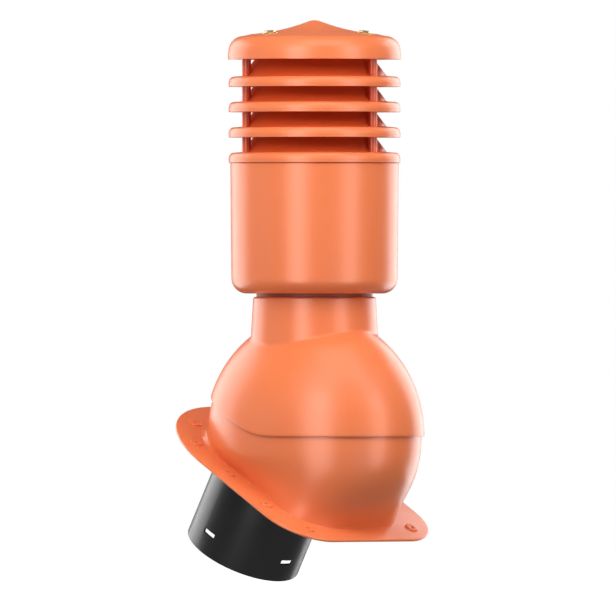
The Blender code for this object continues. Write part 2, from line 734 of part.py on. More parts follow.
def make_cap_screws(material, parent):
    """Round headed screws with washers, one in each recess of the cap."""
    foot = TOUCH_GAP
    washer = foot + SCREW_WASHER_HEIGHT
    head = washer + SCREW_HEAD_HEIGHT
    tip = foot - SCREW_LENGTH
    profile = [(0.0, tip), (SCREW_SHANK_RADIUS, tip), (SCREW_SHANK_RADIUS, foot), (SCREW_WASHER_RADIUS, foot),
               (SCREW_WASHER_RADIUS, washer), (SCREW_HEAD_RADIUS, washer),
               (SCREW_SHOULDER_RADIUS, washer + SCREW_SHOULDER_HEIGHT), (SCREW_CROWN_RADIUS, head),
               (0.0, head)]
    for number, frame in enumerate(screw_frames()):
        work = turned(profile, SCREW_SIDES)
        bmesh.ops.transform(work, matrix=frame, verts=work.verts)
        screw = finish("cap_screw_" + str(number + 1), work, material)
        screw.parent = parent


def main():
    """Clear the scene and build the chimney."""
    for old in list(bpy.data.objects):
        bpy.data.objects.remove(old)
    orange = plastic("orange_plastic", (0.76, 0.19, 0.075), 0.42)
    black = plastic("black_pipe", (0.017, 0.017, 0.018), 0.4)
    dark = plastic("dark_pipe", (0.05, 0.02, 0.015), 0.5)
    zinc = plastic("yellow_zinc", (0.75, 0.55, 0.25), 0.3, 1.0)
    pivot = bpy.data.objects.new("swivel_axis", None)
    pivot.location = BALL_CENTRE
    bpy.context.scene.collection.objects.link(pivot)
    make_roof_base(orange)
    make_connection_pipe(black)
    make_ball_dome_neck(orange, pivot)
    make_inner_pipe(dark, pivot)
    make_housing(orange, pivot)
    for index in range(RING_COUNT + 1):
        name = "housing_top_ring" if index == 0 else "louvre_ring_" + str(RING_COUNT + 1 - index)
        if index < RING_COUNT:
            head = ring_foot_height(index + 1) + RING_SKIRT - RING_WALL
        else:
            outer_side = (POST_CIRCLE_RADIUS + POST_RADIUS) / cos(pi / RING_SIDES)
            head = CAP_FOOT_HEIGHT + height_on(CAP_INNER, outer_side)
        make_ring(name, index, head, orange, pivot)
    make_rain_cap(orange, pivot)
    make_cap_screws(zinc, pivot)
    bpy.context.view_layer.update()


main()
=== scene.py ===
# %% [markdown]
# # A roof ventilation chimney, dressed on its CAD frame
# The CAD solids give every place and size. This lesson puts a fine, smooth skin over each of them,
# gives the skins their plastics and metal, and lights them like a product photograph on white.
# Everything is in metres. +Z is up, +X points down the roof and +Y runs along it.

# %% Load the frame
import json
from math import atan2, cos, hypot, pi, radians, sin, sqrt, tan

import bmesh
import bpy
from mathutils import Matrix, Vector


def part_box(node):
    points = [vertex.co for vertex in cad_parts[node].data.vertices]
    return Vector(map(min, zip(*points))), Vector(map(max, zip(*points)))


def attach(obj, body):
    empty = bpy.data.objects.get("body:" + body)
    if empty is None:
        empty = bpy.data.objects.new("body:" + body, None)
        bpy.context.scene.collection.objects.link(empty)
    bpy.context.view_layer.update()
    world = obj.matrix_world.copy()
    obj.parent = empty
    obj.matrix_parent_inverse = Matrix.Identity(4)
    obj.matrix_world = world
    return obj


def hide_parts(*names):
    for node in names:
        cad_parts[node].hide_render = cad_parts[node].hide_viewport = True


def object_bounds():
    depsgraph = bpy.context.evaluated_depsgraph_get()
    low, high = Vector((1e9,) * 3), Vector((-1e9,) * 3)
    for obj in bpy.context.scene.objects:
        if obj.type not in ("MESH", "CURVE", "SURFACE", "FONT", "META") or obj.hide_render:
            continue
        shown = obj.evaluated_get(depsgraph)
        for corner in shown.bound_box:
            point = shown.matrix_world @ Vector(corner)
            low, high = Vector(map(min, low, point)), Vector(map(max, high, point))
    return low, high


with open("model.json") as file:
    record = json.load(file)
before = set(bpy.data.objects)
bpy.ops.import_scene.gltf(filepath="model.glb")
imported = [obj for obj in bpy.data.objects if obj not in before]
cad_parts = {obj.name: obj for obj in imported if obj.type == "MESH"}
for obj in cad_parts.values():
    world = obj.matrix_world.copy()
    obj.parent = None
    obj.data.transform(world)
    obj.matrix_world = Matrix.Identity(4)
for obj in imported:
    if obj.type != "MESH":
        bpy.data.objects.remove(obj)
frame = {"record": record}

cad_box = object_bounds()
print("CAD box", cad_box)

# %% [markdown]
# ## Sizes
# Each form below is worked out from named values. They were read from the photograph, or estimated
# where it hides them, such as the walls. These are the ones that several pieces share. The places
# come from the frame: its joint gives the centre of the ball, and the boxes of the CAD nodes give
# the heights of the inner pipe, the housing, the rings and the cap. CRISP, FINE and SOFT are the
# radii of small corners, and TOUCH is the clearance between pieces that meet.

# %% Sizes of the chimney
ROOF_PITCH = radians(30.0)
BALL = Vector(frame["record"]["behaviour"]["joints"][0]["pos_m"])
ROOF = Matrix.Rotation(ROOF_PITCH, 4, "Y")
ROOF_BALL = ROOF.inverted() @ BALL

PLATE = 0.0035
FLANGE = dict(centre=-0.0117, length=0.336, width=0.271, corner=0.066)
FOOT = dict(centre=-0.0117, length=0.276, width=0.195, corner=0.057)
DOME_RADIUS, DOME_HALF_WIDTH, DOME_WALL = 0.1555, 0.1209, 0.0025
BASE_RADIUS, BASE_HALF_WIDTH, BASE_WALL = 0.1518, 0.1172, 0.0030
BALL_OVER_PLATE = ROOF_BALL.z - PLATE
PIPE_RADIUS, PIPE_BORE, PIPE_OFF_BALL = 0.0750, 0.0720, -0.0377
NECK_TOP, NECK_FOOT, NECK_WALL = 0.0779, 0.0806, 0.0030
INNER_PIPE_RADIUS, INNER_PIPE_BORE = 0.0735, 0.0713
CRISP, FINE, SOFT = 0.0005, 0.0006, 0.0008
TOUCH = 0.0003
print("ball centre", tuple(round(value, 4) for value in BALL))

# %% [markdown]
# ## Profiles with rounded corners
# Most pieces are turned: one outline, spun about an upright line. A moulded part never has a
# perfectly sharp corner, so the outline is written as a few corners, each with its own radius, and
# a helper puts the arcs in. The light then finds a small bright line on every edge, as it does
# on real plastic. A bevel modifier could do the same, but it would round all edges alike.

# %% Outline helper
def rounded(corners, steps=5):
    """Fillet a closed outline given as (radius, height, fillet) corners."""
    points = []
    for index, (x, y, fillet) in enumerate(corners):
        here = Vector((x, y))
        before = Vector(corners[index - 1][:2])
        after = Vector(corners[(index + 1) % len(corners)][:2])
        if fillet == 0.0:
            points.append(here)
            continue
        back = (before - here).normalized()
        ahead = (after - here).normalized()
        half = back.angle(ahead) / 2
        run = fillet / tan(half)
        centre = here + (back + ahead).normalized() * (fillet / sin(half))
        start = here + back * run - centre
        turn = start.angle_signed(here + ahead * run - centre)
        for step in range(steps + 1):
            angle = -turn * step / steps
            points.append(centre + Vector((start.x * cos(angle) - start.y * sin(angle),
                                           start.x * sin(angle) + start.y * cos(angle))))
    return points


def quarter(steps):
    """The angles of a quarter turn, in equal steps from nought."""
    return [pi / 2 * step / steps for step in range(steps + 1)]


print("a triangle with round corners has",
      len(rounded([(0.0, 0.0, 0.1), (1.0, 0.0, 0.1), (0.0, 1.0, 0.1)])), "points")

# %% Turning and finishing helpers
TURN_STEPS, SMALL_TURN_STEPS = 160, 40
ON_AXIS, WELD = 0.000001, 0.000005


def turned(points, steps=TURN_STEPS, axis_x=BALL.x):
    """Spin a closed outline of (radius, height) points about an upright line.

    An edge that lies on the line itself would make no face, so it is left out."""
    work = bmesh.new()
    verts = [work.verts.new((axis_x + x, 0.0, y)) for x, y in points]
    edges = [work.edges.new(pair) for pair in zip(verts, verts[1:] + verts[:1])
             if max(abs(vert.co.x - axis_x) for vert in pair) > ON_AXIS]
    bmesh.ops.spin(work, geom=verts + edges, cent=(axis_x, 0.0, 0.0), axis=(0, 0, 1), dvec=(0, 0, 0),
                   angle=2 * pi, steps=steps, use_merge=True, use_duplicate=False)
    bmesh.ops.remove_doubles(work, verts=work.verts, dist=WELD)
    bmesh.ops.recalc_face_normals(work, faces=work.faces)
    return work


def as_object(name, work, material, sharp=40.0):
    """Make a smooth shaded object at the origin from a bmesh, with crisp edges over an angle."""
    mesh = bpy.data.meshes.new(name)
    work.to_mesh(mesh)
    work.free()
    mesh.shade_smooth()
    mesh.set_sharp_from_angle(angle=radians(sharp))
    mesh.materials.append(material)
    made = bpy.data.objects.new(name, mesh)
    bpy.context.scene.collection.objects.link(made)
    return made


def add_work(target, extra):
    """Put one bmesh into another."""
    passing = bpy.data.meshes.new("passing")
    extra.to_mesh(passing)
    extra.free()
    target.from_mesh(passing)
    bpy.data.meshes.remove(passing)


def mount_piece(piece, body, slot, *nodes):
    """Let a piece ride on a body and stand for its CAD nodes, which are hidden. The slot is not used."""
    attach(piece, body)
    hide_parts(*nodes)
    print(piece.name, len(piece.data.polygons), "faces on", body)


print("turned pieces have", TURN_STEPS, "sides")

# %% [markdown]
# ## Lofting by extrusion
# The flange with its shell and the dome with its neck aren't round all over, so they can't be
# spun. They are lofted: a circle of edges is extruded again and again, and each new ring is laid on
# the next cross-section. A formula gives the cross-sections, so the skin stays smooth.

# %% Loft helper
LOFT_WELD, HALVINGS = 0.000001, 32


def lofted(rings):
    """Extrude a circle through a list of rings of points and close it into a ring-shaped skin."""
    work = bmesh.new()
    first = bmesh.ops.create_circle(work, cap_ends=False, segments=len(rings[0]), radius=1.0)["verts"]
    for vert, place in zip(first, rings[0]):
        vert.co = place
    work.edges.ensure_lookup_table()
    row, edges = first, list(work.edges)
    for ring in rings[1:] + rings[:1]:
        grown = bmesh.ops.extrude_edge_only(work, edges=edges)["geom"]
        edges = [item for item in grown if isinstance(item, bmesh.types.BMEdge)]
        fresh = {item for item in grown if isinstance(item, bmesh.types.BMVert)}
        row = [next(edge.other_vert(vert) for edge in vert.link_edges if edge.other_vert(vert) in fresh)
               for vert in row]
        for vert, place in zip(row, ring):
            vert.co = place
    bmesh.ops.remove_doubles(work, verts=work.verts, dist=LOFT_WELD)
    bmesh.ops.recalc_face_normals(work, faces=work.faces)
    return work


def bisected(test, low, high):
    """The value between low and high at which a test changes from true to false."""
    for _ in range(HALVINGS):
        middle = (low + high) / 2
        if test(middle):
            low = middle
        else:
            high = middle
    return low


print("the square root of two is about", round(bisected(lambda side: side * side < 2.0, 0.0, 2.0), 6))

# %% [markdown]
# ## Plastics and metal
# The chimney is moulded in one orange plastic with a satin skin. Real moulded plastic is never one
# flat colour: the pigment flows a little unevenly, the skin has a very fine grain, and the gloss
# changes in soft patches. One node group makes these three effects, and each plastic uses it with
# its own strengths. The grain could be modelled, but at under half a millimetre it belongs in bump.

# %% Node helpers
MIX_FACTOR, MIX_A, MIX_B, MIX_RESULT = 0, 6, 7, 2


def new_material(name):
    """A material, with its nodes, its links and its main shader."""
    made = bpy.data.materials.new(name)
    made.use_nodes = True
    tree = made.node_tree
    return made, tree.nodes, tree.links, tree.nodes["Principled BSDF"]


def add_node(nodes, kind, **values):
    """Add a node and set some of its inputs. An underscore in a name stands for a space."""
    made = nodes.new(kind)
    for name, value in values.items():
        made.inputs[name.replace("_", " ")].default_value = value
    return made


def colour_mix(nodes):
    """Add a node that mixes two colours."""
    made = nodes.new("ShaderNodeMix")
    made.data_type = "RGBA"
    return made


def colour_ramp(nodes, *stops):
    """Add a ramp between two stops, each given as a position and a colour."""
    made = nodes.new("ShaderNodeValToRGB")
    for element, (position, colour) in zip(made.color_ramp.elements, stops):
        element.position = position
        element.color = (*colour, 1.0)
    return made


# %% Node group for moulded plastic
def moulded_group():
    """Shared effect: uneven pigment, patches of gloss and a fine grain."""
    group = bpy.data.node_groups.new("moulded_skin", "ShaderNodeTree")
    for name, kind, value in (("Colour", "NodeSocketColor", (0.8, 0.3, 0.1, 1.0)),
                              ("Deep Colour", "NodeSocketColor", (0.6, 0.2, 0.05, 1.0)),
                              ("Roughness Low", "NodeSocketFloat", 0.3),
                              ("Roughness High", "NodeSocketFloat", 0.4),
                              ("Grain", "NodeSocketFloat", 0.1)):
        group.interface.new_socket(name, in_out="INPUT", socket_type=kind).default_value = value
    for name, kind in (("Base Colour", "NodeSocketColor"), ("Roughness", "NodeSocketFloat"),
                       ("Normal", "NodeSocketVector")):
        group.interface.new_socket(name, in_out="OUTPUT", socket_type=kind)
    nodes, links = group.nodes, group.links
    inputs, outputs = nodes.new("NodeGroupInput"), nodes.new("NodeGroupOutput")
    place = nodes.new("ShaderNodeTexCoord")
    flow = add_node(nodes, "ShaderNodeTexNoise", Scale=9.0, Detail=4.0, Distortion=0.6)
    patches = add_node(nodes, "ShaderNodeTexNoise", Scale=55.0, Detail=5.0)
    grain = add_node(nodes, "ShaderNodeTexNoise", Scale=2400.0, Detail=2.0)
    blend = colour_mix(nodes)
    gloss = nodes.new("ShaderNodeMapRange")
    bump = add_node(nodes, "ShaderNodeBump", Distance=0.0002)
    for texture in (flow, patches, grain):
        links.new(place.outputs["Object"], texture.inputs["Vector"])
    links.new(flow.outputs["Fac"], blend.inputs[MIX_FACTOR])
    links.new(inputs.outputs["Deep Colour"], blend.inputs[MIX_A])
    links.new(inputs.outputs["Colour"], blend.inputs[MIX_B])
    links.new(patches.outputs["Fac"], gloss.inputs["Value"])
    links.new(inputs.outputs["Roughness Low"], gloss.inputs["To Min"])
    links.new(inputs.outputs["Roughness High"], gloss.inputs["To Max"])
    links.new(inputs.outputs["Grain"], bump.inputs["Strength"])
    links.new(grain.outputs["Fac"], bump.inputs["Height"])
    links.new(blend.outputs[MIX_RESULT], outputs.inputs["Base Colour"])
    links.new(gloss.outputs["Result"], outputs.inputs["Roughness"])
    links.new(bump.outputs["Normal"], outputs.inputs["Normal"])
    return group


MOULDED = moulded_group()
print("group", MOULDED.name)

# %% [markdown]
# In the photograph the plates and cones of the louvre are far darker and redder than its lips, as they lie in
# shade between them.
# That shade is painted into the colour: a deeper tone is mixed in by the distance from the neck's axis,
# behind the lips. A second object for that tone would part a ring that is one moulding.

# %% Plastic materials
# These radii bound the painted shade: full behind the lips, gone where the lips begin.
BEHIND_LIPS, LIP_START = 0.0965, 0.1025
PLASTIC_IOR = 1.5


def paint_shade_behind_lips(nodes, links, skin, shader, shaded):
    """Paint shade near the neck's axis as a deeper tone on the skin, and keep the skin's own colour from the
    lips outwards.
    """
    place = nodes.new("ShaderNodeTexCoord")
    from_axis = nodes.new("ShaderNodeVectorMath")
    from_axis.operation = "SUBTRACT"
    from_axis.inputs[1].default_value = (BALL.x, 0.0, 0.0)
    level = nodes.new("ShaderNodeVectorMath")
    level.operation = "MULTIPLY"
    level.inputs[1].default_value = (1.0, 1.0, 0.0)
    radius = nodes.new("ShaderNodeVectorMath")
    radius.operation = "LENGTH"
    behind = add_node(nodes, "ShaderNodeMapRange", From_Min=BEHIND_LIPS, From_Max=LIP_START,
                      To_Min=1.0, To_Max=0.0)
    tone = colour_mix(nodes)
    tone.inputs[MIX_B].default_value = (*shaded, 1.0)
    links.new(place.outputs["Object"], from_axis.inputs[0])
    links.new(from_axis.outputs["Vector"], level.inputs[0])
    links.new(level.outputs["Vector"], radius.inputs[0])
    links.new(radius.outputs["Value"], behind.inputs["Value"])
    links.new(behind.outputs["Result"], tone.inputs[MIX_FACTOR])
    links.new(skin.outputs["Base Colour"], tone.inputs[MIX_A])
    links.new(tone.outputs[MIX_RESULT], shader.inputs["Base Color"])


def plastic(name, colour, deep, low, high, grain, shaded=None):
    """A plastic that takes its colour, gloss and grain from the shared group.

    With a shaded colour, the plates and cones behind the louvre lips take a deeper tone, which is painted
    shade."""
    made, nodes, links, shader = new_material(name)
    shader.inputs["IOR"].default_value = PLASTIC_IOR
    skin = nodes.new("ShaderNodeGroup")
    skin.node_tree = MOULDED
    skin.inputs["Colour"].default_value = (*colour, 1.0)
    skin.inputs["Deep Colour"].default_value = (*deep, 1.0)
    skin.inputs["Roughness Low"].default_value = low
    skin.inputs["Roughness High"].default_value = high
    skin.inputs["Grain"].default_value = grain
    links.new(skin.outputs["Base Colour"], shader.inputs["Base Color"])
    links.new(skin.outputs["Roughness"], shader.inputs["Roughness"])
    links.new(skin.outputs["Normal"], shader.inputs["Normal"])
    if shaded:
        paint_shade_behind_lips(nodes, links, skin, shader, shaded)
    return made


ORANGE_SKIN = dict(colour=(0.83, 0.205, 0.072), deep=(0.77, 0.178, 0.060), low=0.26, high=0.36, grain=0.12)
ORANGE = plastic("orange_moulding", **ORANGE_SKIN)
# The louvre plastic carries painted shade: its plates and cones are darkened to the shaded colour below.
LOUVRE_PAINTED_SHADE = plastic("orange_louvre_painted_shade", **ORANGE_SKIN, shaded=(0.66, 0.085, 0.020))
BLACK = plastic("black_pipe_plastic", (0.016, 0.016, 0.017), (0.011, 0.011, 0.012), 0.28, 0.40, 0.10)
# The inner pipe's dark reddish brown is painted shade: it stands for the deep shade in the gap under the
# housing.
INNER_PIPE_PAINTED_SHADE = plastic("inner_pipe_painted_shade", (0.30, 0.050, 0.015), (0.24, 0.040, 0.012), 0.46, 0.58, 0.10)
print("plastics", ORANGE.name, LOUVRE_PAINTED_SHADE.name, BLACK.name, INNER_PIPE_PAINTED_SHADE.name)

# %% [markdown]
# The screws are steel with a yellow zinc coat. Such a coat is patchy, from straw to gold with a
# hint of rose, so its colour comes from a ramp over a soft noise.

# %% Yellow zinc
def yellow_zinc():
    """Passivated zinc: metallic, patchy and a little uneven in its gloss."""
    made, nodes, links, shader = new_material("yellow_zinc_coat")
    shader.inputs["Metallic"].default_value = 1.0
    place = nodes.new("ShaderNodeTexCoord")
    patches = add_node(nodes, "ShaderNodeTexNoise", Scale=300.0, Detail=4.0)
    ramp = colour_ramp(nodes, (0.32, (0.78, 0.47, 0.15)), (0.70, (0.93, 0.84, 0.52)))
    rough = add_node(nodes, "ShaderNodeMapRange", To_Min=0.22, To_Max=0.42)
    links.new(place.outputs["Object"], patches.inputs["Vector"])
    links.new(patches.outputs["Fac"], ramp.inputs["Fac"])
    links.new(ramp.outputs["Color"], shader.inputs["Base Color"])
    links.new(patches.outputs["Fac"], rough.inputs["Value"])
    links.new(rough.outputs["Result"], shader.inputs["Roughness"])
    return made


ZINC = yellow_zinc()
print("metal", ZINC.name)

# %% [markdown]
# ## Outlines on the roof
# Both the flange and the foot of the lower shell have a round uphill end and two rounded corners
# downhill. The signed distance to such an outline is easy to write, and from it a search along a
# ray finds the reach in any direction. An inset is then simply a smaller distance.

# %% Reach of the roof outlines
FARTHEST = 0.4


def outline_distance(u, v, centre, length, width, corner):
    """Signed distance from the outline on the roof, negative inside."""
    if u < centre:
        return hypot(max(0.0, (centre - u) - (length - width) / 2), v) - width / 2
    across = abs(v) - (width / 2 - corner)
    along = (u - centre) - (length / 2 - corner)
    return hypot(max(along, 0.0), max(across, 0.0)) + min(max(along, across), 0.0) - corner


def outline_reach(angle, inset, shape):
    """Distance from the ball's roof normal to an inset outline."""
    return bisected(lambda r: outline_distance(r * cos(angle), r * sin(angle), **shape) < -inset,
                    0.0, FARTHEST)


def hole_reach(angle, radius):
    """Distance from the ball's roof normal to the edge of the pipe's hole."""
    return bisected(lambda r: hypot(r * cos(angle) - PIPE_OFF_BALL, r * sin(angle)) < radius,
                    0.0, FARTHEST)


print("the flange reaches", round(outline_reach(0.0, 0.0, FLANGE), 4), "downhill of the ball")

# %% [markdown]
# ## The lower ball shell
# Near the top the shell is part of a ball that is flattened sideways. Lower down it changes
# into the foot: at the back with a short flare, in front over its whole height, which gives the
# flatter face and the two soft corners above the flange. A smooth share between the two forms does
# this. Its rim slopes, so that the dome covers it at every roof pitch.

# %% Form of the lower ball shell
FLARE_REAR, FLARE_FRONT, FLARE_POWER, FOOT_EASE = 0.0055, 0.112, 1.8, 1.7
SWIVEL, OVERLAP, RIM_REAR_ANGLE = radians(15.0), radians(4.0), radians(25.1)
RIM_ROUNDS = 20


def shell_reach(angle, height, inset):
    """Distance of the shell from the roof normal at a height over the ball centre."""
    radius, half = BASE_RADIUS - inset, BASE_HALF_WIDTH - inset
    spread = cos(angle) ** 2 / radius ** 2 + sin(angle) ** 2 / half ** 2
    ball = sqrt(max(0.0, 1 - height * height / (radius * radius)) / spread)
    flare = FLARE_REAR + (FLARE_FRONT - FLARE_REAR) * ((1 + cos(angle)) / 2) ** FLARE_POWER
    climb = min(1.0, max(0.0, (height + BALL_OVER_PLATE + inset) / flare))
    share = (1 - climb) ** FOOT_EASE
    if share == 0.0:
        return ball
    return ball + (outline_reach(angle, inset, FOOT) - ball) * share


def shell_rim():
    """Level and slope of the shell's sloping rim, about the ball centre."""
    front_angle = ROOF_PITCH + SWIVEL + OVERLAP
    rear_angle = RIM_REAR_ANGLE + SWIVEL + OVERLAP - ROOF_PITCH
    front = Vector((cos(front_angle), sin(front_angle))) * BASE_RADIUS
    rear = Vector((-cos(rear_angle), sin(rear_angle))) * BASE_RADIUS
    slope = (front.y - rear.y) / (front.x - rear.x)
    return front.y - slope * front.x, slope


def shell_top(angle):
    """Height of the rim over the ball centre in one direction."""
    level, slope = shell_rim()
    height = level
    for _ in range(RIM_ROUNDS):
        height = level + slope * shell_reach(angle, height, 0.0) * cos(angle)
    return height


print("the rim is over the ball by", round(shell_top(0.0), 4), "in front and", round(shell_top(pi), 4),
      "behind")

# %% [markdown]
# ## Flange and lower shell, moulded as one
# One loft runs all round the wall: along the underside, round the flange's edge, over the flange,
# up the fillet at the foot, up the shell, over its rim and down inside to the hole for the pipe.
# Doing it in one skin gives a true fillet at the foot, which a union of two meshes wouldn't.

# %% Build the flange and the lower shell
BASE_SIDES = 224
EDGE, FOOT_FILLET, RIM_EDGE = 0.0014, 0.0005, 0.0006
EDGE_STEPS, FILLET_STEPS, SHELL_STEPS, INNER_STEPS = 4, 6, 34, 15
ANGLES = [2 * pi * side / BASE_SIDES for side in range(BASE_SIDES)]


def roof_point(angle, reach, level):
    """World place of a point given about the ball's roof normal."""
    return ROOF @ Vector((ROOF_BALL.x + reach * cos(angle), reach * sin(angle), level))


def roof_ring(reach_of, level_of):
    """One ring of the loft from a reach and a level for each direction."""
    return [roof_point(angle, reach_of(angle), level_of(angle)) for angle in ANGLES]


def shell_ring(heights, inset):
    """One ring on the shell's skin, from a height over the ball centre for each direction."""
    return roof_ring(lambda a: shell_reach(a, heights[a], inset), lambda a: ROOF_BALL.z + heights[a])


def shell_heights(low, tops, share):
    """Heights at a share of the way from a level to just under the rim."""
    return {a: low + (tops[a] - RIM_EDGE - low) * share for a in ANGLES}


def base_rings():
    """All rings of the flange and shell, in order round the wall."""
    edge = [(EDGE * (1 - sin(turn)), EDGE * (1 - cos(turn))) for turn in quarter(EDGE_STEPS)]
    edge += [(EDGE * (1 - cos(turn)), PLATE - EDGE * (1 - sin(turn))) for turn in quarter(EDGE_STEPS)]
    rings = [roof_ring(lambda a: outline_reach(a, inset, FLANGE), lambda a: level) for inset, level in edge]
    foot = FOOT_FILLET - BALL_OVER_PLATE
    start = {a: shell_reach(a, foot, 0.0) for a in ANGLES}
    for step in range(FILLET_STEPS + 1):
        turn = pi / 2 * (1 - step / FILLET_STEPS)
        rings.append(roof_ring(lambda a: start[a] + FOOT_FILLET * (1 - cos(turn)),
                               lambda a: PLATE + FOOT_FILLET * (1 - sin(turn))))
    tops = {a: shell_top(a) for a in ANGLES}
    for step in range(1, SHELL_STEPS + 1):
        rings.append(shell_ring(shell_heights(foot, tops, step / SHELL_STEPS), 0.0))
    rings += [shell_ring(tops, RIM_EDGE), shell_ring(tops, BASE_WALL - RIM_EDGE)]
    for step in range(INNER_STEPS + 1):
        rings.append(shell_ring(shell_heights(-BALL_OVER_PLATE, tops, 1 - step / INNER_STEPS), BASE_WALL))
    hole = PIPE_RADIUS + TOUCH
    return rings + [roof_ring(lambda a: hole_reach(a, hole), lambda a: level) for level in (PLATE, 0.0)]


base_work = lofted(base_rings())
print("flange and shell", len(base_work.faces), "faces")

# %% [markdown]
# Eleven low bosses stand on the flange, where the roofing screws go. Each is a small turned disc
# with a flat top, a soft edge and a dimple that centres the screw. They are turned one by one
# and put into the same mesh, because on the real flange they are moulded with it.

# %% Bosses on the flange
BOSS_RADIUS, BOSS_HEIGHT, BOSS_INSET, BOSS_DRAFT = 0.0085, 0.0018, 0.0215, 0.0001
DIMPLE_RADIUS, DIMPLE_DEPTH, DIMPLE_EDGE = 0.0020, 0.0017, 0.0001
REAR_BOSSES, SIDE_BOSSES, CORNER_BOSS = (radians(35.0), radians(67.0)), (0.0, 0.078), radians(58.0)


def boss_places():
    """Places of the bosses about the ball's roof normal, on a line inside the flange's edge."""
    line = FLANGE["width"] / 2 - BOSS_INSET
    rear = FLANGE["centre"] - FLANGE["length"] / 2 + FLANGE["width"] / 2
    places = [(rear - line, 0.0)]
    for angle in REAR_BOSSES:
        places += [(rear - line * cos(angle), side * line * sin(angle)) for side in (-1, 1)]
    for shift in SIDE_BOSSES:
        places += [(FLANGE["centre"] + shift, side * line) for side in (-1, 1)]
    corner_line = FLANGE["corner"] - BOSS_INSET
    corner_u = FLANGE["centre"] + FLANGE["length"] / 2 - FLANGE["corner"] + corner_line * sin(CORNER_BOSS)
    corner_v = FLANGE["width"] / 2 - FLANGE["corner"] + corner_line * cos(CORNER_BOSS)
    return places + [(corner_u, side * corner_v) for side in (-1, 1)]


def boss_outline():
    """Outline of a boss that stands on the plate's top and is sunk into it."""
    top, sunk = PLATE + BOSS_HEIGHT, PLATE / 2
    return rounded([(0.0, sunk, 0.0), (BOSS_RADIUS, sunk, 0.0), (BOSS_RADIUS - BOSS_DRAFT, top, CRISP),
                    (DIMPLE_RADIUS, top, DIMPLE_EDGE), (DIMPLE_RADIUS, top - DIMPLE_DEPTH, DIMPLE_EDGE),
                    (0.0, top - DIMPLE_DEPTH, 0.0)], 4)


for boss_u, boss_v in boss_places():
    boss = turned(boss_outline(), SMALL_TURN_STEPS, 0.0)
    bmesh.ops.transform(boss, matrix=ROOF @ Matrix.Translation((ROOF_BALL.x + boss_u, boss_v, 0.0)),
                        verts=boss.verts)
    add_work(base_work, boss)

roof_base = as_object("roof_base_moulding", base_work, ORANGE)
mount_piece(roof_base, "base", "orange_plastic", "roof_base")

# %% [markdown]
# ## Dome and neck
# The dome is the outer ball shell. Its rim is level in front and lifts behind, so that it clears
# the flange on steep roofs. The neck grows out of the top with a small fillet. In each direction
# round the neck's axis, a search finds where the neck meets the ball and where the rim cuts it, and
# the loft runs between the two. A sphere cut with a Boolean would leave a ragged rim.

# %% Form of the dome
DOME_SIDES = 224
TURNS = [2 * pi * side / DOME_SIDES for side in range(DOME_SIDES)]
RIM_SLOPE, RIM_START, RIM_SOFT = tan(radians(22.0)), 0.0145, 0.0055


def dome_point(turn, polar, inset):
    """Point of the dome about the ball centre, with the polar angle counted from straight up."""
    radius, half = DOME_RADIUS - inset, DOME_HALF_WIDTH - inset
    ray = Vector((sin(polar) * cos(turn), sin(polar) * sin(turn), cos(polar)))
    return ray / sqrt((ray.x * ray.x + ray.z * ray.z) / radius ** 2 + ray.y * ray.y / half ** 2)


def rim_height(x):
    """Height of the dome's rim over the ball centre at a distance downhill of it."""
    rise = RIM_SLOPE * (RIM_START - x)
    return (rise + hypot(rise, RIM_SOFT)) / 2


def polar_at_reach(turn, reach, inset):
    """Polar angle at which the dome is a given distance from the neck's axis."""
    return bisected(lambda p: hypot(*dome_point(turn, p, inset).xy) < reach, 0.0, pi / 2)


def polar_at_rim(turn, inset, lift=0.0):
    """Polar angle at which the dome meets its rim, or a line a little above it."""
    def above(polar):
        point = dome_point(turn, polar, inset)
        return point.z > rim_height(point.x) + lift
    return bisected(above, pi / 6, pi)


print("the dome's rim lifts", round(rim_height(-DOME_RADIUS), 4), "behind")

# %% Rings of the neck and the dome
NECK_HEIGHT, COLLAR, NECK_EDGE, NECK_FILLET, LIP = 0.1768, 0.020, 0.0035, 0.0025, 0.0008
NECK_STEPS, LIP_STEPS, OUTER_STEPS, UNDER_STEPS = 6, 2, 30, 19
SIDE_SHARES = 0.25, 0.5, 0.75


def level_ring(radius, height):
    """A round ring about the neck's axis, at a height over the ball centre."""
    return [BALL + Vector((radius * cos(turn), radius * sin(turn), height)) for turn in TURNS]


def neck_ring(meets, share):
    """A ring on the neck's tapered side, at a share of the way down to where it meets the ball."""
    radius, top = NECK_TOP + (NECK_FOOT - NECK_TOP) * share, NECK_HEIGHT - NECK_EDGE
    return [BALL + Vector((radius * cos(t), radius * sin(t), top + (meets[t].z + NECK_FILLET - top) * share))
            for t in TURNS]


def fillet_ring(meets, starts, share):
    """A ring on the curve that leads from the neck's side into the ball."""
    ring = []
    for t in TURNS:
        above, below = meets[t] + Vector((0.0, 0.0, NECK_FILLET)), dome_point(t, starts[t], 0.0)
        ring.append(BALL + above * (1 - share) ** 2 + meets[t] * 2 * share * (1 - share) + below * share ** 2)
    return ring


def dome_bands(starts, ends, steps, inset):
    """Rings on the dome's skin in equal steps, from one polar angle to another in each direction."""
    return [[BALL + dome_point(t, starts[t] + (ends[t] - starts[t]) * step / steps, inset) for t in TURNS]
            for step in range(steps + 1)]


